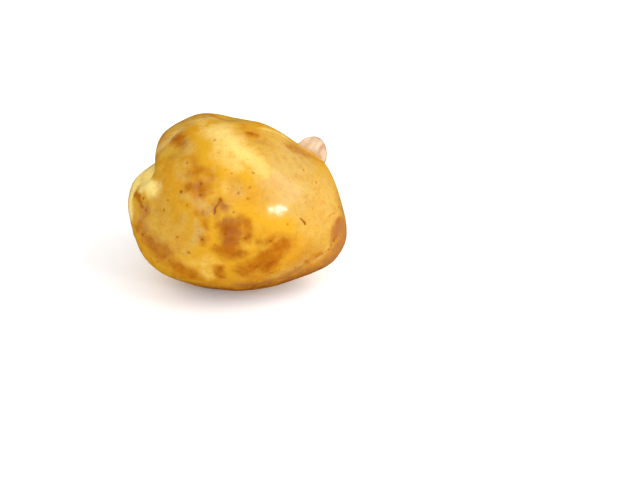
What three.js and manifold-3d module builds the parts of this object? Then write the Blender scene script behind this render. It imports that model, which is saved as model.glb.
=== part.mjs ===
// A washed new potato: one lumpy tuber, resting on a small flat spot, with a loose flake of its own
// thin skin still standing on its right shoulder. The tuber and its flake grew as one piece, so they
// are one solid.
// Millimetres, +Z up. The origin is on the surface it rests on, under the middle of its box.
// +X runs along the tuber, from the bud end with its notch to the rounded cheek. -Y is its front.

import * as THREE from 'three';
import { mergeVertices } from 'three/addons/utils/BufferGeometryUtils.js';
import Module from 'manifold-3d';

const wasm = await Module();
wasm.setup();

// Driving dimensions of the tuber
const LENGTH = 68; // along X
const WIDTH = 58; // along Y
const HEIGHT = 53; // along Z, from the surface it rests on
const PRESS_DEPTH = 1.3; // how much of its round underside the flat spot takes away
const PRESS_EASE = 0.5; // the height over which the underside turns into the flat spot

// Driving dimensions of the loose flake of skin
const FLAKE_HEIGHT = 5; // how far it stands out of the tuber
const FLAKE_THICKNESS = 0.7;
const FLAKE_ROOT = 2.5; // how deep its root runs into the tuber
const FLAKE_CURL = 2; // how far its tip leans back
const FLAKE_TAPER = 0.5; // how pointed its outline is: 0.5 is an ellipse, 1 is a parabola

// Places on the tuber are directions from its middle, [azimuth, elevation] in degrees: azimuth 0 is
// +X, 90 is +Y and -90 is the front; elevation 90 is the top.
const FLAKE_FROM = [20, 21];
const FLAKE_TO = [36, 36];

// How the tuber departs from a ball before it is stretched to its size. Each swelling or hollow runs
// from one direction to another and fades over its spread. Rise and spread are shares of the
// tuber's radius, and a hollow has a negative rise.
const SWELLINGS = [
  { name: 'crown', from: [126, 50], to: [146, 38], spread: 0.33, rise: 0.1 },
  { name: 'bud-end lobe', from: [170, 8], to: [-162, 8], spread: 0.34, rise: 0.07 },
  { name: 'heel', from: [-158, -30], to: [-150, -26], spread: 0.4, rise: 0.095 },
  { name: 'cheek', from: [-13, -18], to: [-18, -27], spread: 0.36, rise: 0.135 },
  { name: 'cheek corner', from: [-18, -20], to: [-22, -23], spread: 0.16, rise: 0.03 },
  { name: 'back', from: [70, -20], to: [95, -5], spread: 0.5, rise: 0.03 },
  { name: 'back knuckle', from: [112, 2], to: [124, -8], spread: 0.24, rise: 0.03 },
  { name: 'top rear edge', from: [48, 66], to: [30, 58], spread: 0.2, rise: 0.03 },
];
const HOLLOWS = [
  { name: 'notch', from: [148, 24], to: [-178, 26], spread: 0.18, rise: -0.13 },
  { name: 'furrow from the notch', from: [-168, 26], to: [-140, 16], spread: 0.2, rise: -0.03 },
  { name: 'right shoulder', from: [66, 46], to: [0, 50], spread: 0.36, rise: -0.09 },
  { name: 'under the flake', from: [34, 36], to: [14, 42], spread: 0.18, rise: -0.035 },
  { name: 'behind the crown', from: [104, 68], to: [80, 72], spread: 0.2, rise: -0.03 },
  { name: 'underside', from: [-110, -52], to: [-90, -48], spread: 0.45, rise: -0.02 },
  { name: 'stem end', from: [28, -6], to: [36, -2], spread: 0.14, rise: -0.045 },
];
// The eyes: small dents, each under its brow.
const EYES = [
  { name: 'front eye', from: [-107, 32], to: [-101, 35], spread: 0.085, rise: -0.022 },
  { name: 'upper eye', from: [-113, 40], to: [-109, 42], spread: 0.08, rise: -0.018 },
  { name: 'cheek eye', from: [-40, 17], to: [-36, 20], spread: 0.08, rise: -0.016 },
  { name: 'top eye', from: [-60, 76], to: [-40, 74], spread: 0.1, rise: -0.022 },
  { name: 'back eye', from: [78, 34], to: [86, 32], spread: 0.1, rise: -0.028 },
  { name: 'back low eye', from: [128, 20], to: [134, 18], spread: 0.09, rise: -0.024 },
  { name: 'right low eye', from: [52, -28], to: [58, -30], spread: 0.09, rise: -0.022 },
  { name: 'heel eye', from: [-170, -14], to: [-166, -16], spread: 0.09, rise: -0.018 },
];

// Mesh fineness
const SLIVER = 0.02; // features finer than this are merged where the flake joins the tuber
const BALL_DIVISIONS = 24; // squares along each side of the cube that is blown up into the tuber
const FLAKE_DIVISIONS = 12; // squares along the flake's root
const FLAKE_ROWS = 6; // squares from its root to its tip

// The unit vector that points in an [azimuth, elevation] direction.
function direction([azimuth, elevation]) {
  const turn = THREE.MathUtils.degToRad(azimuth);
  const tilt = THREE.MathUtils.degToRad(elevation);
  return new THREE.Vector3(
    Math.cos(tilt) * Math.cos(turn),
    Math.cos(tilt) * Math.sin(turn),
    Math.sin(tilt),
  );
}

// How near a direction is to the stroke between two others: 1 on it, fading as a bell curve.
function nearness(ray, { from, to, spread }) {
  const start = direction(from);
  const end = direction(to);
  const stroke = new THREE.Line3(start, end);
  const nearest = stroke.closestPointToPoint(ray, true, new THREE.Vector3()).normalize();
  return Math.exp(-ray.distanceToSquared(nearest) / spread ** 2);
}

// The tuber's surface in a direction, as a lumpy ball of about unit radius.
function lumpyPoint(ray) {
  let radius = 1;
  for (const form of [...SWELLINGS, ...HOLLOWS, ...EYES]) radius += form.rise * nearness(ray, form);
  return ray.clone().multiplyScalar(radius);
}

// A cube whose sides are blown up to a ball of evenly spread points, as one closed mesh.
function ballGeometry() {
  const cube = new THREE.BoxGeometry(2, 2, 2, BALL_DIVISIONS, BALL_DIVISIONS, BALL_DIVISIONS);
  const ball = moved(cube, (p) => {
    const even = p.toArray().map((share) => Math.tan((share * Math.PI) / 4));
    return p.fromArray(even).normalize();
  });
  return ball;
}

// A geometry welded to its positions alone, with each point moved by a function.
function moved(geometry, move) {
  geometry.deleteAttribute('normal');
  geometry.deleteAttribute('uv');
  const welded = mergeVertices(geometry, 1e-4);
  const position = welded.getAttribute('position');
  const point = new THREE.Vector3();
  for (let i = 0; i < position.count; i++) {
    const place = move(point.fromBufferAttribute(position, i));
    position.setXYZ(i, place.x, place.y, place.z);
  }
  return welded;
}

// The box of the lumpy ball, which is stretched to the tuber's length, width and height.
const ball = ballGeometry();
const lumpyBox = new THREE.Box3().setFromBufferAttribute(
  moved(ball.clone(), lumpyPoint).getAttribute('position'),
);

// A height above the resting surface, with everything below it pressed up into the flat spot.
function pressed(height) {
  if (height >= PRESS_EASE) return height;
  if (height <= -PRESS_EASE) return 0;
  return (height + PRESS_EASE) ** 2 / (4 * PRESS_EASE);
}

// The tuber's surface in a direction, at its real size and place.
function tuberPoint(ray) {
  const share = lumpyPoint(ray).sub(lumpyBox.min).divide(lumpyBox.getSize(new THREE.Vector3()));
  return new THREE.Vector3(
    (share.x - 0.5) * LENGTH,
    (share.y - 0.5) * WIDTH,
    pressed(share.z * (HEIGHT + PRESS_DEPTH) - PRESS_DEPTH),
  );
}

function tuberGeometry() {
  return moved(ball, tuberPoint);
}

// A thin curved sheet. Along is its place on the root, from -1 to 1, and out is its place from the
// root's foot, 0, to the tip, 1. Its outline is rounded and ends inside the tuber on both sides, and
// it leans back as it rises.
function flakeGeometry() {
  const [start, end] = [direction(FLAKE_FROM), direction(FLAKE_TO)];
  const rootPoint = (along) => tuberPoint(start.clone().lerp(end, (along + 1) / 2).normalize());
  const middle = start.clone().add(end).normalize();
  const outward = middle.clone().divide(new THREE.Vector3(LENGTH, WIDTH, HEIGHT)).normalize();
  const rootRun = rootPoint(1).sub(rootPoint(-1)).normalize();
  const back = new THREE.Vector3().crossVectors(rootRun, outward).normalize();
  const sheet = new THREE.BoxGeometry(2, 1, FLAKE_THICKNESS, FLAKE_DIVISIONS, FLAKE_ROWS, 1);
  return moved(sheet, (p) => {
    const [along, out, through] = [p.x, p.y + 0.5, p.z];
    const arch = (1 - along ** 2) ** FLAKE_TAPER;
    const tip = THREE.MathUtils.lerp(-FLAKE_ROOT / 2, FLAKE_HEIGHT, arch);
    return rootPoint(along)
      .addScaledVector(outward, THREE.MathUtils.lerp(-FLAKE_ROOT, tip, out))
      .addScaledVector(back, through + FLAKE_CURL * arch * out ** 2);
  });
}

// A closed mesh as a manifold-3d solid, and a solid as a geometry again.
function solidOf(geometry) {
  const vertProperties = new Float32Array(geometry.getAttribute('position').array);
  const triVerts = new Uint32Array(geometry.index.array);
  return new wasm.Manifold(new wasm.Mesh({ numProp: 3, vertProperties, triVerts }));
}

function geometryOf(solid) {
  const { vertProperties, triVerts } = solid.getMesh();
  const geometry = new THREE.BufferGeometry();
  geometry.setAttribute('position', new THREE.BufferAttribute(new Float32Array(vertProperties), 3));
  geometry.setIndex(new THREE.BufferAttribute(new Uint32Array(triVerts), 1));
  geometry.computeVertexNormals();
  return geometry;
}

function potato() {
  const grown = solidOf(tuberGeometry()).add(solidOf(flakeGeometry())).simplify(SLIVER);
  const skin = new THREE.MeshStandardMaterial({ color: 0xe0a545, roughness: 0.4, metalness: 0 });
  const mesh = new THREE.Mesh(geometryOf(grown), skin);
  mesh.name = 'potato';
  return mesh;
}

const part = new THREE.Group();
part.add(potato());

export default part;
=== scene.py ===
import bpy
import numpy as np
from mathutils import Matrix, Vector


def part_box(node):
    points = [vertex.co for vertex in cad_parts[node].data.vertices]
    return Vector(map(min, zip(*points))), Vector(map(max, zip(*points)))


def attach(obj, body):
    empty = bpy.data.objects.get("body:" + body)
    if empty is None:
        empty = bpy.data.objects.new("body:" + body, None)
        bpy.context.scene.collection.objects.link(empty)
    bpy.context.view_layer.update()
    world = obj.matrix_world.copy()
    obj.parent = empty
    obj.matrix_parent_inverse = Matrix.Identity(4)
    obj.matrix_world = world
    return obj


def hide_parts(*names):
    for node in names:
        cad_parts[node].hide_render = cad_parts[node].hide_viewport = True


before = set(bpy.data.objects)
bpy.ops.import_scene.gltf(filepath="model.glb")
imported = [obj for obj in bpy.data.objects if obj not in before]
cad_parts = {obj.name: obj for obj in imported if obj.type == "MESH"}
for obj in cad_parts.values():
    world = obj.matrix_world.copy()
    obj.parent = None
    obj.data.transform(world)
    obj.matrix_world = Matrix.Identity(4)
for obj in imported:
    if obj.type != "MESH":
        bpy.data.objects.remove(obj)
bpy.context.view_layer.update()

# ---- The tuber ------------------------------------------------------------------------------------
# One washed new potato, grown in one piece: firm yellow flesh under a skin thinner than paper.
# The skin has rubbed off in patches, is bruised brown in others, and folds at the eyes.
# It lies on a small flat spot of its underside.
(low_x, low_y, low_z), (high_x, high_y, high_z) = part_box("potato")
PRESS_DEPTH = 0.0013  # how much of its round underside the flat spot takes away
PRESS_EASE = 0.0005   # the height over which the underside turns into the flat spot
TUBER_SQUARES = 128   # along each side of the cube that is blown up into the tuber
WAVE_RELIEF, RIPPLE_RELIEF = 0.00012, 0.000015  # how much finer waves and ripples lift the skin
BARE_DEPTH, FOLD_DEPTH, PORE_DEPTH = 0.00008, 0.0002, 0.00008
BROW_RISE, BROW_WIDTH = 0.00022, 0.035          # the lip over an eye; its width is a share of the radius
BROW_REACH, BROW_LIFT = 3, 4                    # degrees past the eye's ends, and above it
RELIEF_FROM, RELIEF_FULL = 0.0002, 0.003        # heights over the table where relief begins, and is full

# Each swelling or hollow runs from one direction to another, given as azimuth and elevation in
# degrees from the tuber's middle. Spread and rise are shares of its radius.
SWELLINGS = {
    "crown": ((126, 50), (146, 38), 0.33, 0.1),
    "bud end lobe": ((170, 8), (-162, 8), 0.34, 0.07),
    "heel": ((-158, -30), (-150, -26), 0.4, 0.095),
    "cheek": ((-13, -18), (-18, -27), 0.36, 0.135),
    "cheek corner": ((-18, -20), (-22, -23), 0.16, 0.03),
    "back": ((70, -20), (95, -5), 0.5, 0.03),
    "back knuckle": ((112, 2), (124, -8), 0.24, 0.03),
    "top rear edge": ((48, 66), (30, 58), 0.2, 0.03),
}
HOLLOWS = {
    "notch": ((148, 24), (-178, 26), 0.18, -0.13),
    "furrow from the notch": ((-168, 26), (-140, 16), 0.2, -0.03),
    "right shoulder": ((66, 46), (0, 50), 0.36, -0.09),
    "under the flake": ((34, 36), (14, 42), 0.18, -0.035),
    "behind the crown": ((104, 68), (80, 72), 0.2, -0.03),
    "underside": ((-110, -52), (-90, -48), 0.45, -0.02),
    "stem end": ((28, -6), (36, -2), 0.14, -0.045),
}
EYES = {
    "front eye": ((-107, 32), (-101, 35), 0.085, -0.022),
    "upper eye": ((-113, 40), (-109, 42), 0.08, -0.018),
    "cheek eye": ((-40, 17), (-36, 20), 0.08, -0.016),
    "top eye": ((-60, 76), (-40, 74), 0.1, -0.022),
    "back eye": ((78, 34), (86, 32), 0.1, -0.028),
    "back low eye": ((128, 20), (134, 18), 0.09, -0.024),
    "right low eye": ((52, -28), (58, -30), 0.09, -0.022),
    "heel eye": ((-170, -14), (-166, -16), 0.09, -0.018),
}


def direction(azimuth, elevation):
    """The unit vector with this azimuth and elevation in degrees."""
    turn, tilt = np.radians(azimuth), np.radians(elevation)
    return np.array([np.cos(tilt) * np.cos(turn), np.cos(tilt) * np.sin(turn), np.sin(tilt)])


def unit(vectors):
    """Vectors of length 1 that point the same ways."""
    return vectors / np.linalg.norm(vectors, axis=-1, keepdims=True)


def grid_quads(rows, columns):
    """The squares of a grid of points, each as the numbers of its four corners in turn."""
    number = np.arange((rows + 1) * (columns + 1)).reshape(rows + 1, columns + 1)
    ring = [number[:-1, :-1], number[1:, :-1], number[1:, 1:], number[:-1, 1:]]
    return np.stack(ring, axis=-1).reshape(-1, 4)


def ball_rays(squares):
    """Unit vectors on the six faces of a cube, each face a grid of two parameters from -1 to 1.
    A parameter s goes to tan(45 degrees * s), so the squares come out even on the ball."""
    side = np.linspace(-1, 1, squares + 1)
    across, along = np.meshgrid(side, side, indexing="ij")
    corners, quads = [], []
    for axis in range(3):
        for sign in (-1, 1):
            face = np.empty((squares + 1, squares + 1, 3))
            face[..., axis], face[..., (axis + 1) % 3], face[..., (axis + 2) % 3] = sign, across, along
            quads.append(grid_quads(squares, squares)[:, ::sign] + across.size * len(corners))
            corners.append(face.reshape(-1, 3))
    corners = np.concatenate(corners)
    _, first, shared = np.unique(np.round(corners, 6), axis=0, return_index=True, return_inverse=True)
    return unit(np.tan(corners[first] * np.pi / 4)), shared.ravel()[np.concatenate(quads)]


def off_path(rays, path):
    """Each ray's chord length to the nearest point of a chain of directions, or of a single one."""
    stops = [direction(*stop) for stop in path]
    nearest = np.full(len(rays), np.inf)
    for start, end in zip(stops, stops[1:] or stops):
        run = end - start
        share = np.clip((rays - start) @ run / max(run @ run, 1e-12), 0, 1)
        foot = unit(start + share[:, None] * run)
        nearest = np.minimum(nearest, np.linalg.norm(rays - foot, axis=1))
    return nearest


def lumpy(rays):
    """A unit ball whose radius is 1 plus each form's rise times a bell curve of the way to it."""
    radius = np.ones(len(rays))
    for start, end, spread, rise in [*SWELLINGS.values(), *HOLLOWS.values(), *EYES.values()]:
        radius += rise * np.exp(-(off_path(rays, (start, end)) / spread) ** 2)
    return rays * radius[:, None]


tuber_rays, tuber_quads = ball_rays(TUBER_SQUARES)
lump_low, lump_high = lumpy(tuber_rays).min(axis=0), lumpy(tuber_rays).max(axis=0)


def tuber_points(rays):
    """The lumpy ball stretched to the tuber's box, with what lies below the flat spot pressed up:
    a height h near zero goes to (h + ease) squared over four times the ease."""
    share = (lumpy(rays) - lump_low) / (lump_high - lump_low)
    x = low_x + share[:, 0] * (high_x - low_x)
    y = low_y + share[:, 1] * (high_y - low_y)
    z = share[:, 2] * (high_z - low_z + PRESS_DEPTH) - PRESS_DEPTH
    eased = (np.clip(z, -PRESS_EASE, PRESS_EASE) + PRESS_EASE) ** 2 / (4 * PRESS_EASE)
    return np.stack([x, y, low_z + np.where(z > PRESS_EASE, z, eased)], axis=1)


def outward(points, quads):
    """Unit normals at the points: the sum of the cross products of their squares' diagonals."""
    a, b, c, d = (points[quads[:, k]] for k in range(4))
    square = np.cross(c - a, d - b)
    total = np.zeros_like(points)
    for k in range(4):
        for axis in range(3):
            total[:, axis] += np.bincount(quads[:, k], square[:, axis], len(points))
    return unit(total)


def wander(rays, wavelength, seed, waves=24):
    """Smooth uneven values around 0, mostly within 1: plane waves of about this wavelength in random
    directions, added up and divided by a quarter of their number."""
    dice = np.random.default_rng(seed)
    way = dice.normal(size=(waves, 3))
    way *= (2 * np.pi / wavelength * dice.uniform(0.7, 1.4, waves) / np.linalg.norm(way, axis=1))[:, None]
    return np.cos(rays @ way.T + dice.uniform(0, 2 * np.pi, waves)).sum(axis=1) / (waves / 4)


def step(value, low, high):
    """0 below low, 1 above high, and an S curve between."""
    share = np.clip((value - low) / (high - low), 0, 1)
    return share * share * (3 - 2 * share)


def astray(way_off, wavelength, seeds):
    """How far each ray strays from its place along x, y and z: by way_off times uneven values."""
    return way_off * np.stack([wander(tuber_rays, wavelength, seed) for seed in seeds], axis=1)


# Patches stray from their strokes, so no edge is a clean curve. Narrow marks stray less.
ragged_rays = tuber_rays + astray(way_off=0.022, wavelength=0.3, seeds=(1, 2, 3))
ragged_rays += astray(way_off=0.006, wavelength=0.1, seeds=(4, 5, 6))
crooked_rays = tuber_rays + astray(way_off=0.006, wavelength=0.07, seeds=(8, 9, 10))


def patches(strokes):
    """How much of a mark is on each point, 0 to 1. A stroke is its path of directions, its half
    width, how much of that is a soft edge, and its strength; where two overlap the stronger wins."""
    amount = np.zeros(len(tuber_rays))
    for path, half_width, soft, strength in strokes:
        away = off_path(ragged_rays, path) / half_width
        amount = np.maximum(amount, strength * (1 - step(away, 1 - soft, 1 + soft)))
    return amount


def peaks(strokes):
    """For marks as narrow as the mesh: 1 on a path, falling in a straight line to 0 at four times
    its half width, so that the material can cut a clean edge at three quarters."""
    amount = np.zeros(len(tuber_rays))
    for path, half_width in strokes:
        amount = np.maximum(amount, 1 - off_path(crooked_rays, path) / (4 * half_width))
    return amount


# Where the skin has rubbed off to the yellow flesh.
bare = patches([
    ([(-165, 80), (-110, 78), (-88, 71)], 0.13, 0.8, 1.0),
    ([(-86, 70), (-77, 66), (-71, 58), (-65, 49)], 0.09, 0.8, 1.0),
    ([(-106, 68), (-98, 60), (-88, 56)], 0.08, 1.0, 0.8),
    ([(-96, 47), (-95, 38)], 0.03, 1.0, 0.25),
    ([(165, 24), (-174, 23), (-160, 25), (-147, 28)], 0.085, 0.7, 1.0),
    ([(162, 17), (176, 15), (-170, 12), (-162, 4)], 0.07, 0.8, 1.0),
    ([(-116, -14), (-108, -12), (-102, -8)], 0.06, 1.0, 0.3),
    ([(-108, -13), (-107, -24)], 0.065, 1.0, 0.45),
    ([(179, 43), (174, 49), (167, 54)], 0.04, 1.0, 0.55),
    ([(92, 22), (108, 10), (112, 2)], 0.11, 0.9, 0.85),
    ([(40, -22), (54, -14)], 0.09, 0.9, 0.8),
    ([(138, -22), (148, -10)], 0.08, 0.9, 0.8),
    ([(148, 65), (170, 72)], 0.045, 1.0, 0.55),
    ([(19, 73), (16, 63), (17, 53)], 0.035, 0.9, 0.8),
])
# Painted light: the flesh made lighter on the bud end lobe, which faces away from the lamps, and a little on
# the top.
painted_lit_flesh = patches([
    ([(172, 23), (-174, 23), (-160, 25), (-150, 27)], 0.07, 0.8, 1.0),
    ([(168, 17), (178, 15), (-170, 12), (-164, 5)], 0.06, 0.9, 1.0),
    ([(-140, 79), (-98, 74), (-77, 64)], 0.09, 1.0, 0.3),
])
# Where the skin is thin and shows the gold of the flesh under it.
gold = patches([
    ([(-175, 76), (-130, 67), (-112, 60), (-96, 55), (-82, 47)], 0.13, 0.95, 1.0),
    ([(-96, 54), (-97, 42), (-97, 30)], 0.05, 1.0, 0.9),
    ([(-82, 24), (-73, 19), (-65, 15), (-57, 10)], 0.08, 1.0, 0.9),
    ([(-80, 16), (-78, 8)], 0.05, 1.0, 0.8),
    ([(-116, -14), (-108, -12), (-102, -8)], 0.09, 0.9, 1.0),
    ([(-108, -13), (-107, -24)], 0.09, 0.9, 1.0),
    ([(-100, 20), (-101, 8)], 0.06, 0.9, 1.0),
    ([(-86, 33), (-89, 28)], 0.06, 1.0, 0.6),
    ([(-112, -3), (-103, 3), (-104, -12)], 0.07, 1.0, 0.8),
    ([(-98, -8), (-90, -22), (-92, -34)], 0.1, 1.0, 0.5),
    ([(78, 52), (102, 36), (118, 24)], 0.17, 1.0, 0.9),
    ([(44, 18), (58, 4), (66, -12)], 0.15, 1.0, 0.8),
    ([(-130, -60), (-60, -62), (20, -58)], 0.2, 1.0, 0.6),
    ([(-170, 8), (-158, 22)], 0.12, 1.0, 0.6),
])
# Where it is pale and a little lifted, or has dried to a pale film. The two broad strokes on the right upper
# side also carry the right lamp's broad sheen, painted in, and the narrow line left of the front eye's fold
# is a painted highlight on its lip.
thin_skin_and_sheen = patches([
    # These two broad strokes are pale skin with the right lamp's sheen painted in.
    ([(-42, 31), (-38, 46), (-20, 50)], 0.36, 0.85, 1.0),
    ([(-36, 18), (-28, 10), (-20, 20)], 0.34, 0.85, 0.75),
    ([(-90, 46), (-84, 43), (-86, 38)], 0.07, 0.9, 0.8),
    ([(-117, -6), (-112, 4), (-107, 14)], 0.04, 0.9, 0.85),
    ([(-124, 6), (-120, 16)], 0.09, 1.0, 0.4),
    ([(-152, 22), (-141, 8), (-128, -4)], 0.22, 1.0, 0.4),
    ([(-124, 31), (-116, 30), (-108, 28)], 0.04, 1.0, 0.6),
    # A painted highlight on the lip beside the front eye's fold.
    ([(-104, 30), (-106, 22)], 0.02, 0.9, 0.9),
    ([(-114, 2), (-111, 10), (-109, 18)], 0.03, 0.9, 0.7),
    ([(178, 44), (172, 50), (164, 55)], 0.09, 0.9, 0.9),
    ([(162, 40), (150, 47), (139, 56)], 0.07, 1.0, 0.7),
    ([(-169, 46), (-166, 52), (-170, 58)], 0.05, 1.0, 0.5),
    ([(-163, 61), (-144, 59)], 0.06, 0.9, 0.8),
    ([(-137, 47), (-127, 41)], 0.07, 1.0, 0.6),
    ([(-146, 33), (-144, 30)], 0.035, 0.9, 1.0),
    ([(-146, 23), (-143, 22)], 0.03, 0.9, 0.9),
    ([(-109, 52), (-107, 50)], 0.025, 1.0, 0.9),
    ([(150, 61), (132, 68), (113, 75), (73, 81)], 0.09, 1.0, 0.75),
    ([(-27, -9), (-33, -15), (-39, -19)], 0.045, 0.9, 0.9),
    ([(-62, -26), (-49, -22), (-42, -18)], 0.08, 1.0, 0.5),
])
# Where it is deeper ochre: mostly painted shade, low down along the front, on the lower right and on the left
# lobe, which face away from the lamps; the strokes high on the top left and top right are deeper skin.
deep_tone_and_shade = patches([
    ([(-160, -4), (-143, -12), (-128, -30)], 0.2, 0.95, 0.15),
    ([(-120, -40), (-80, -40), (-40, -34)], 0.12, 1.0, 0.7),
    ([(-20, -8), (-20, -24), (-40, -32)], 0.14, 1.0, 0.85),
    ([(-43, -12), (-50, -22), (-62, -31)], 0.13, 1.0, 0.6),
    ([(-150, 12), (-138, 15)], 0.1, 1.0, 0.3),
    ([(-130, 56), (-119, 50), (-111, 52)], 0.08, 1.0, 0.8),
    ([(4, 51), (10, 44), (10, 35)], 0.1, 1.0, 0.9),
    # Painted shade along the whole low front.
    ([(-100, -34), (-70, -34), (-50, -30), (-26, -26), (-12, -12)], 0.24, 1.0, 0.7),
])
# Where it is stained brown.
brown = patches([
    ([(-92, 14), (-91, 7), (-91, 0)], 0.11, 0.85, 1.0),
    ([(-96, 1), (-91, -4), (-86, -3)], 0.07, 0.95, 0.85),
    ([(-84, 18), (-83, 9)], 0.07, 1.0, 0.9),
    ([(-61, 0), (-69, -5), (-77, -12), (-83, -17)], 0.115, 0.75, 0.85),
    ([(-74, 5), (-66, 4)], 0.055, 1.0, 0.6),
    ([(-66, -8), (-71, -17)], 0.09, 0.8, 0.9),
    ([(-120, 38), (-111, 38), (-113, 35)], 0.075, 0.9, 0.75),
    ([(-128, 46), (-118, 50)], 0.05, 1.0, 0.5),
    ([(-101, 28), (-99, 24)], 0.045, 1.0, 0.5),
    ([(-112, 45), (-108, 46)], 0.05, 1.0, 0.5),
    ([(-98, 30), (-94, 26)], 0.05, 1.0, 0.7),
    ([(-110, 24), (-105, 21)], 0.05, 1.0, 0.5),
    ([(-104, 22), (-105, 14)], 0.025, 1.0, 0.6),
    ([(-107, 7), (-106, 4)], 0.04, 1.0, 0.7),
    ([(178, 56), (-163, 57)], 0.065, 0.95, 0.9),
    ([(-47, 79), (-28, 75)], 0.05, 0.9, 0.9),
    ([(-60, 80), (-26, 82), (-28, 70)], 0.09, 1.0, 0.25),
    ([(-167, 17), (-159, 17), (-153, 13)], 0.03, 0.8, 0.85),
    ([(-142, -6), (-137, -10), (-133, -9)], 0.1, 1.0, 0.75),
    ([(-146, 10), (-150, 16)], 0.04, 1.0, 0.4),
    ([(-151, -2), (-147, 2)], 0.045, 1.0, 0.7),
    ([(-162, -7), (-159, -13), (-157, -20)], 0.06, 1.0, 0.6),
    ([(-127, -17), (-121, -22), (-118, -27)], 0.09, 0.9, 0.75),
    ([(-125, -30), (-132, -34)], 0.07, 1.0, 0.5),
    ([(-99, -14), (-99, -24)], 0.05, 0.9, 0.75),
    ([(-2, 53), (4, 50), (9, 44)], 0.08, 0.9, 0.6),
    ([(-21, -2), (-19, -5), (-24, -7)], 0.045, 0.9, 1.0),
    ([(-13, -14), (-17, -25), (-26, -30)], 0.07, 1.0, 0.8),
    ([(-44, -20), (-36, -14)], 0.035, 1.0, 0.7),
    ([(127, 60), (117, 68), (86, 80)], 0.03, 1.0, 0.6),
    ([(-19, -1), (-22, -4), (-26, -8)], 0.05, 0.8, 0.9),
    ([(-41, -15), (-42, -21)], 0.03, 1.0, 0.7),
    ([(70, 14), (82, 2), (88, -8)], 0.12, 0.9, 0.9),
    ([(122, 34), (132, 24)], 0.09, 0.9, 0.8),
    ([(26, 6), (33, -4), (30, -12)], 0.11, 0.8, 0.9),
    ([(158, -16), (170, -8)], 0.09, 0.9, 0.75),
    ([(58, 46), (72, 36)], 0.07, 1.0, 0.8),
    ([(104, -26), (122, -22)], 0.1, 0.9, 0.8),
    ([(64, -34), (50, -42)], 0.09, 1.0, 0.7),
])
# Where a bruise under the skin turns it rosy. The long strokes along the low front edge are painted contact
# shade, reddened.
rosy = patches([
    ([(-93, 20), (-87, 16), (-92, 8)], 0.08, 1.0, 0.3),
    ([(170, 40), (160, 43), (151, 44), (144, 47), (142, 54), (132, 62)], 0.05, 1.0, 0.5),
    ([(-177, 40), (-178, 48), (170, 56)], 0.035, 1.0, 0.45),
    ([(-159, 60), (-150, 54), (-154, 46)], 0.06, 1.0, 0.3),
    ([(-90, 45), (-85, 40)], 0.06, 1.0, 0.25),
    # These two strokes are painted contact shade, reddened, along the low front edge.
    ([(-87, -34), (-71, -37), (-53, -37), (-42, -31), (-33, -26)], 0.06, 1.0, 0.55),
    ([(-47, -27), (-57, -31), (-68, -34)], 0.07, 0.9, 0.7),
    ([(-16, -4), (-21, -5), (-25, -9)], 0.07, 0.9, 0.95),
    ([(-16, -12), (-21, -18), (-25, -25), (-34, -31)], 0.12, 1.0, 0.9),
    ([(-7, 8), (-11, -1), (-12, -10)], 0.09, 1.0, 0.5),
    # Painted contact shade, reddened, low on the front right.
    ([(-22, -31), (-32, -38), (-50, -42)], 0.08, 1.0, 0.6),
    ([(-138, -8), (-150, 12)], 0.06, 1.0, 0.3),
])
# Painted contact shade: the underside darkened and reddened, most of all along the low front edge where it
# meets the table.
contact_shade = patches([
    ([(-130, -55), (-113, -57), (-95, -54), (-79, -52), (-61, -52), (-45, -49), (-30, -45)], 0.24, 0.6, 0.8),
    ([(-150, -40), (-130, -50)], 0.08, 0.8, 0.5),
    ([(-120, -75), (60, -75)], 0.4, 0.6, 0.5),
])
LARGE_PORE, SMALL_PORE = 0.013, 0.009  # half widths, as shares of the radius
LARGE_PORES = [(-114, 41), (-112, 34), (-126, 33), (-94, 11), (-83, 8), (-69, 4), (-147, -3), (-107, 6),
               (-115, -5), (-26, -10), (-154, 18)]
SMALL_PORES = [(-26, 40), (-24, 29), (-58, 13), (-80, 33), (-86, 37), (-89, 25), (-140, -3), (-122, 4),
               (-148, 13), (-135, 18), (-119, 26), (-138, -19), (-127, -21), (-51, -23), (-21, -10), (-66, 1),
               (-78, 40), (-42, 22), (-24, -9), (-26, -11), (-28, -13), (-30, -15), (-32, -16), (-34, -17),
               (-13, 5), (-127, 72), (-134, 51), (-134, 25), (-100, 3), (-73, 49), (-97, 32), (-38, -18)]
pores = peaks([([spot], LARGE_PORE) for spot in LARGE_PORES] + [([spot], SMALL_PORE) for spot in SMALL_PORES])
# Folds in the skin at the eyes, and short cracks. The folds' dark lines are brown skin with painted shade in
# their creases.
folds = peaks([
    ([(-98, 33), (-100, 28), (-101, 23)], 0.007),
    ([(-68, -23), (-65, -22), (-62, -20)], 0.005),
    ([(-49, 14), (-46, 9)], 0.008),
])
scratches = peaks([
    ([(-80, -33), (-73, -28)], 0.007),
    ([(-27, 6), (-20, 5)], 0.009),
])

points = tuber_points(tuber_rays)
relief = WAVE_RELIEF * wander(tuber_rays, wavelength=0.4, seed=11)
relief += RIPPLE_RELIEF * wander(tuber_rays, wavelength=0.12, seed=12)
relief -= BARE_DEPTH * bare + FOLD_DEPTH * step(folds, 0.5, 1.0) + PORE_DEPTH * step(pores, 0.6, 1.0)
for (azimuth, elevation), (far_azimuth, far_elevation), *_ in EYES.values():
    brow = [(azimuth - BROW_REACH, elevation + BROW_LIFT),
            (far_azimuth + BROW_REACH, far_elevation + BROW_LIFT)]
    relief += BROW_RISE * np.exp(-(off_path(tuber_rays, brow) / BROW_WIDTH) ** 2)
relief *= step(points[:, 2] - low_z, RELIEF_FROM, RELIEF_FULL)
points += outward(points, tuber_quads) * relief[:, None]
points[:, 2] = np.maximum(points[:, 2], low_z)


def shown(name, data):
    """An object with this data, in the scene."""
    made = bpy.data.objects.new(name, data)
    bpy.context.scene.collection.objects.link(made)
    return made


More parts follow.
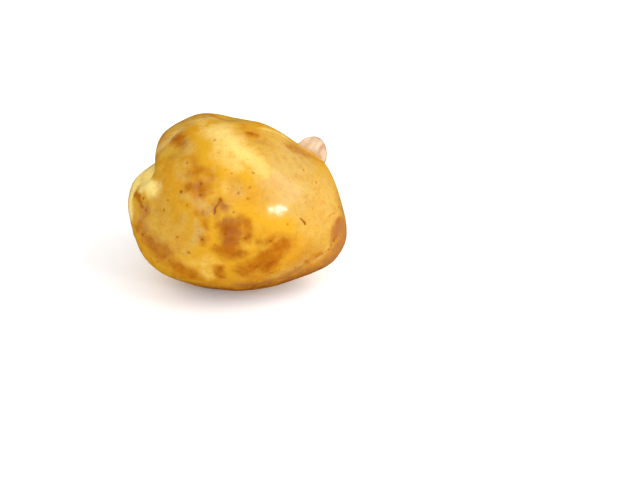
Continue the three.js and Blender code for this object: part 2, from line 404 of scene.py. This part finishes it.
def smooth_mesh(name, corners, quads, marks):
    """A mesh of smooth squares. Each mark is a value from 0 to 1 at each corner, under its name."""
    mesh = bpy.data.meshes.new(name)
    mesh.from_pydata(corners.tolist(), [], quads.tolist())
    mesh.polygons.foreach_set("use_smooth", np.ones(len(quads), dtype=bool))
    for mark_name, amount in marks.items():
        values = amount.ravel().astype(np.float32)
        mesh.attributes.new(mark_name, "FLOAT", "POINT").data.foreach_set("value", values)
    return mesh


tuber_mesh = smooth_mesh("tuber", points, tuber_quads, {
    "bare": bare, "painted_lit_flesh": painted_lit_flesh, "gold": gold, "thin_skin_and_sheen": thin_skin_and_sheen, "deep_tone_and_shade": deep_tone_and_shade, "brown": brown,
    "rosy": rosy, "contact_shade": contact_shade, "pores": pores, "folds": folds, "scratches": scratches})
tuber = shown("tuber", tuber_mesh)

# Every function from here to the colours works in the material whose nodes and links these are.
skin = bpy.data.materials.new("potato skin")
skin.use_nodes = True
nodes, links = skin.node_tree.nodes, skin.node_tree.links
shader = nodes["Principled BSDF"]


def fill(socket, value):
    """Sets a socket to a value, or links it to another socket."""
    if isinstance(value, bpy.types.NodeSocket):
        links.new(value, socket)
    else:
        socket.default_value = value


def fill_named(made, **values):
    """Fills a node's sockets by their names, with _ for a space."""
    for name, value in values.items():
        fill(made.inputs[name.replace("_", " ")], value)


def node(kind, settings=(), in_order=(), **values):
    """A node of this kind, with its settings, and its inputs filled in order or by name."""
    made = nodes.new("ShaderNode" + kind)
    for key, value in dict(settings).items():
        setattr(made, key, value)
    for socket, value in zip(made.inputs, in_order):
        fill(socket, value)
    fill_named(made, **values)
    return made


place = node("TexCoord").outputs["Object"]


def clouds(scale, detail=3.0, roughness=0.55, distortion=0.0):
    """Noise of this many waves to a metre."""
    return node("TexNoise", Vector=place, Scale=scale, Detail=detail, Roughness=roughness,
                Distortion=distortion).outputs["Fac"]


def between(value, low, high, start=0.0, end=1.0):
    """A value brought from low..high to start..end and held there."""
    return node("MapRange", {"interpolation_type": "SMOOTHSTEP"}, Value=value, From_Min=low, From_Max=high,
                To_Min=start, To_Max=end).outputs["Result"]


def maths(first, operation, second):
    """What an operation makes of two values."""
    return node("Math", {"operation": operation}, (first, second)).outputs[0]


MIX_SHARE, MIX_UNDER, MIX_OVER, MIX_RESULT = 0, 6, 7, 2  # a Mix node's sockets when it mixes colours


def blend(share, under, over):
    """A colour over another by a share."""
    mix = node("Mix", {"data_type": "RGBA"})
    fill(mix.inputs[MIX_SHARE], share)
    for number, tone in ((MIX_UNDER, under), (MIX_OVER, over)):
        fill(mix.inputs[number], (*tone, 1.0) if isinstance(tone, tuple) else tone)
    return mix.outputs[MIX_RESULT]


def drawn(name):
    """A mark of the mesh as it is."""
    return node("Attribute", {"attribute_name": name}).outputs["Fac"]


CRUMBLE = 8.0  # how strongly grain frets the edges of marks
# How many waves of each pattern, or cells of pores, there are to a metre.
SHADE_WAVES, OCHRE_WAVES, MOTTLE_WAVES, PALE_MOTTLE_WAVES, STAIN_WAVES = 70, 110, 330, 450, 240
GRAIN_WAVES, SPECKLE_WAVES, GLOSS_WAVES, PORE_CELLS = 420, 1400, 300, 230.0
grain = clouds(GRAIN_WAVES, detail=4.0, roughness=0.65)


def mark(name, raggedness=1.0):
    """A mark of the mesh, crumbled where it is neither 0 nor 1: the mark, plus the grain's way from
    its middle times the mark times one less the mark."""
    amount = drawn(name)
    edge = maths(amount, "MULTIPLY", maths(1.0, "SUBTRACT", amount))
    swing = maths(maths(grain, "SUBTRACT", 0.5), "MULTIPLY", CRUMBLE * raggedness)
    return node("Clamp", Value=maths(amount, "ADD", maths(edge, "MULTIPLY", swing))).outputs[0]


# The skin's own colours, from its middle tone to where it is pale or deep; then what lies on it. Some stand
# in for light: the pale and deep skin partly, the lit flesh and the contact shade wholly.
AMBER, ORANGE, OCHRE = (0.58, 0.28, 0.011), (0.55, 0.28, 0.010), (0.58, 0.35, 0.03)
STRAW, GOLD, DEEP_SKIN_AND_SHADE = (0.68, 0.44, 0.05), (0.61, 0.33, 0.016), (0.40, 0.155, 0.012)
PALE_SKIN_AND_SHEEN, FLESH, PAINTED_LIT_FLESH = (0.53, 0.345, 0.09), (0.70, 0.48, 0.13), (0.88, 0.70, 0.22)
BROWN, DARK_BROWN, ROSE = (0.39, 0.12, 0.002), (0.30, 0.075, 0.001), (0.32, 0.13, 0.035)
PORE, CONTACT_SHADE = (0.20, 0.05, 0.003), (0.21, 0.045, 0.003)
# Each layer covers those before it: the skin's tones with painted shade and sheen, then bare flesh with
# painted light, then stains, painted contact shade, specks and pores.
colour = blend(between(clouds(SHADE_WAVES), 0.4, 0.6), AMBER, ORANGE)
colour = blend(between(clouds(OCHRE_WAVES, distortion=0.6), 0.46, 0.66, 0.0, 0.8), colour, OCHRE)
colour = blend(mark("deep_tone_and_shade", 0.6), colour, DEEP_SKIN_AND_SHADE)
colour = blend(mark("thin_skin_and_sheen", 0.8), colour, PALE_SKIN_AND_SHEEN)
mottles = between(clouds(MOTTLE_WAVES, detail=5.0, roughness=0.7), 0.44, 0.68, 0.0, 0.32)
colour = blend(mottles, colour, BROWN)
pale_mottles = between(clouds(PALE_MOTTLE_WAVES, detail=5.0, roughness=0.6), 0.45, 0.7, 0.0, 0.22)
colour = blend(pale_mottles, colour, STRAW)
colour = blend(mark("gold", 0.6), colour, GOLD)
colour = blend(mark("bare"), colour, FLESH)
colour = blend(mark("painted_lit_flesh", 0.6), colour, PAINTED_LIT_FLESH)
stain = blend(between(clouds(STAIN_WAVES), 0.42, 0.6), BROWN, DARK_BROWN)
colour = blend(mark("brown", 0.8), colour, stain)
colour = blend(mark("rosy"), colour, ROSE)
colour = blend(mark("contact_shade", 0.6), colour, CONTACT_SHADE)
speckle = between(clouds(SPECKLE_WAVES, detail=2.0), 0.56, 0.72, 0.0, 0.3)
colour = blend(speckle, colour, BROWN)
pore_cells = node("TexVoronoi", Vector=place, Scale=PORE_CELLS)
in_some_cells = between(pore_cells.outputs["Color"], 0.62, 0.66)
near_middle = between(pore_cells.outputs["Distance"], 0.035, 0.09, 1.0, 0.0)
fine_pores = maths(near_middle, "MULTIPLY", in_some_cells)
colour = blend(maths(fine_pores, "MULTIPLY", 0.6), colour, PORE)

# Narrow marks: from where on its peak a mark begins, where it is full, how strong it is, and its colour.
NARROW_LAYERS = [
    ("pores", 0.25, 0.75, 0.45, BROWN),
    ("scratches", 0.62, 0.85, 0.7, BROWN),
    # The folds' dark lines: brown skin with painted crease shade.
    ("folds", 0.3, 0.8, 0.5, BROWN),
    ("folds", 0.62, 0.85, 0.85, PORE),
    ("pores", 0.62, 0.85, 0.8, PORE),
]
for name, begins, full, strength, tone in NARROW_LAYERS:
    colour = blend(between(drawn(name), begins, full, 0.0, strength), colour, tone)

# The skin is damp, so it shines under a thin clear coat, and light goes a little way into the flesh.
height = maths(maths(grain, "MULTIPLY", 0.5), "ADD", maths(fine_pores, "MULTIPLY", -0.6))
bump = node("Bump", Strength=0.25, Distance=0.0001, Height=height)
fill_named(shader, Base_Color=colour, Roughness=between(clouds(GLOSS_WAVES), 0.3, 0.7, 0.34, 0.46),
           Normal=bump.outputs["Normal"], Specular_IOR_Level=0.0, Coat_Weight=0.5, Coat_Roughness=0.17,
           Coat_Tint=(0.97, 0.90, 0.82, 1.0), Subsurface_Weight=0.25, Subsurface_Radius=(1.0, 0.5, 0.15),
           Subsurface_Scale=0.002)
tuber_mesh.materials.append(skin)
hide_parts("potato")
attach(tuber, "root")

# ---- The loose flake of skin ------------------------------------------------------------------------
# A tongue of the potato's own skin that has come loose on its right shoulder. It is thin enough to
# let light through, still grows from the skin at its root, and leans back as it dries.
FLAKE_FROM, FLAKE_TO = (20, 21), (36, 36)  # the directions of its root's two ends
FLAKE_HEIGHT = 0.005
FLAKE_ROOT = 0.0012     # how far its root runs into the tuber
FLAKE_CURL = 0.002      # how far its tip leans back
FLAKE_TAPER = 0.45      # how pointed its outline is: 0.5 is an ellipse
FLAKE_SKEW = 0.45       # how much higher its upper half stands
FLAKE_THICKNESS = 0.00025
FLAKE_CRINKLE = 0.0002
RIM_FROM, RIM_TO = 0.0001, 0.0008  # from its edge, where the dried rim begins to fade and ends
STREAK_PLACE, STREAK_SWAY, STREAK_WIDTH = -0.35, 0.12, 0.14  # in half lengths of its root
FLAKE_SQUARES_ALONG, FLAKE_SQUARES_OUT = 60, 28
FILM_WAVES = 600        # waves of its blotches to a metre
CREAM, DRY_ROSE, DRY_GREY = (0.56, 0.42, 0.28), (0.44, 0.24, 0.13), (0.36, 0.28, 0.20)

flake_along, flake_out = np.meshgrid(np.linspace(-1, 1, FLAKE_SQUARES_ALONG + 1),
                                     np.linspace(0, 1, FLAKE_SQUARES_OUT + 1), indexing="ij")
lower_end, upper_end = direction(*FLAKE_FROM), direction(*FLAKE_TO)
root_line = tuber_points(unit(lower_end + (flake_along[:, :1] + 1) / 2 * (upper_end - lower_end)))
way_out = unit((lower_end + upper_end) / [high_x - low_x, high_y - low_y, high_z - low_z])
way_back = unit(np.cross(root_line[-1] - root_line[0], way_out))


def flake_sheet(along, out):
    """Along goes from -1 to 1 on the root line and out from 0 at the root's foot to 1 at the tip. The
    tip stands off by the height times an arch: one less along squared, to the taper, skewed to the
    upper end. It leans back by the curl times the arch times out squared, crinkled by two waves."""
    arch = (1 - along ** 2) ** FLAKE_TAPER * (1 + FLAKE_SKEW * along)
    rise = -FLAKE_ROOT + out * (FLAKE_ROOT + FLAKE_HEIGHT * arch)
    crinkle = FLAKE_CRINKLE * (np.sin(9 * along + 3 * out) + 0.6 * np.sin(17 * along - 5 * out)) * out
    back = FLAKE_CURL * arch * out ** 2 + crinkle
    return root_line[:, None] + rise[..., None] * way_out + back[..., None] * way_back


from_edge = np.minimum((1 - flake_out) * FLAKE_HEIGHT, (1 - np.abs(flake_along)) * FLAKE_HEIGHT)
off_streak = flake_along - STREAK_PLACE + STREAK_SWAY * np.sin(6 * flake_out)
flake_mesh = smooth_mesh(
    "skin flake", flake_sheet(flake_along, flake_out).reshape(-1, 3),
    grid_quads(FLAKE_SQUARES_ALONG, FLAKE_SQUARES_OUT),
    {"rim": 1 - step(from_edge, RIM_FROM, RIM_TO), "streak": np.exp(-(off_streak / STREAK_WIDTH) ** 2)})
flake = shown("skin_flake", flake_mesh)
wall = flake.modifiers.new("wall", "SOLIDIFY")
wall.thickness, wall.offset = FLAKE_THICKNESS, 0.0

film = bpy.data.materials.new("dry skin film")
film.use_nodes = True
nodes, links = film.node_tree.nodes, film.node_tree.links
shader = nodes["Principled BSDF"]
place = node("TexCoord").outputs["Object"]
colour = blend(between(clouds(FILM_WAVES, distortion=1.0), 0.4, 0.7, 0.0, 0.5), CREAM, DRY_ROSE)
colour = blend(maths(drawn("streak"), "MULTIPLY", 0.8), colour, DRY_ROSE)
colour = blend(maths(drawn("rim"), "MULTIPLY", 0.7), colour, DRY_GREY)
fill_named(shader, Base_Color=colour, Roughness=0.35, Subsurface_Weight=0.6,
           Subsurface_Radius=(1.0, 0.7, 0.4), Subsurface_Scale=0.001)
flake_mesh.materials.append(film)
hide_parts("potato")
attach(flake, "root")

# ---- The table and the light ------------------------------------------------------------------------
# A plain white table that runs on out of sight, in a white room that lights it softly from all
# round. Two broad lamps stand high, one at the right and one at the front, and a small one low at
# the front right gives the highlight.
TABLE_HALF = 3.0
TABLE_CORNERS = [(-TABLE_HALF, -TABLE_HALF, low_z), (TABLE_HALF, -TABLE_HALF, low_z),
                 (TABLE_HALF, TABLE_HALF, low_z), (-TABLE_HALF, TABLE_HALF, low_z)]
WHITE, TABLE_WHITE = (1.0, 1.0, 1.0, 1.0), (0.95, 0.95, 0.95, 1.0)
TABLE_GLOW, ROOM_LIGHT = 0.08, 0.9

table_mesh = bpy.data.meshes.new("table top")
table_mesh.from_pydata(TABLE_CORNERS, [], [(0, 1, 2, 3)])
table = shown("table", table_mesh)
table.visible_glossy = False
white = bpy.data.materials.new("white table")
white.use_nodes = True
fill_named(white.node_tree.nodes["Principled BSDF"], Base_Color=TABLE_WHITE, Roughness=0.7,
           Emission_Color=WHITE, Emission_Strength=TABLE_GLOW, Specular_IOR_Level=0.2)
table_mesh.materials.append(white)

room = bpy.data.worlds.new("white room")
room.use_nodes = True
fill_named(room.node_tree.nodes["Background"], Color=WHITE, Strength=ROOM_LIGHT)
room.cycles_visibility.glossy = False
bpy.context.scene.world = room


def lamp(name, azimuth, elevation, distance, width, tall, power):
    """An oblong lamp that far out in this direction, turned to the potato's middle."""
    light = bpy.data.lights.new(name, "AREA")
    light.shape = "RECTANGLE"
    light.size, light.size_y, light.energy = width, tall, power
    stand = shown(name, light)
    stand.location = direction(azimuth, elevation) * distance
    stand.rotation_euler = (np.pi / 2 - np.radians(elevation), 0, np.radians(azimuth) + np.pi / 2)


lamp("right lamp", azimuth=-18, elevation=42, distance=1.0, width=0.7, tall=0.7, power=5.8)
lamp("small lamp", azimuth=-43, elevation=21, distance=1.2, width=0.05, tall=0.15, power=2.7)
lamp("high lamp", azimuth=-108, elevation=42, distance=1.1, width=0.8, tall=0.8, power=3.1)

# ---- The view ---------------------------------------------------------------------------------------
# From the front, looking down at 30 degrees, with the potato to the left of the middle.
VIEW_TILT = 30.0
VIEW_DISTANCE = 0.555
VIEW_MIDDLE = (0.0257, 0.0, 0.027)  # what is in the middle of the view, but for the drop
VIEW_DROP = 0.01245                 # how far the view is let down, so the potato stands high in it
LENS, FILM_WIDTH = 100.0, 36.0      # millimetres

eye = bpy.data.cameras.new("view")
eye.lens, eye.sensor_width = LENS, FILM_WIDTH
camera = shown("view", eye)
toward, upward = direction(-90, VIEW_TILT), direction(90, 90 - VIEW_TILT)
camera.location = np.array(VIEW_MIDDLE) - VIEW_DROP * upward + VIEW_DISTANCE * toward
camera.rotation_euler = (np.radians(90 - VIEW_TILT), 0, 0)
bpy.context.scene.camera = camera
bpy.context.scene.view_settings.view_transform = "Standard"
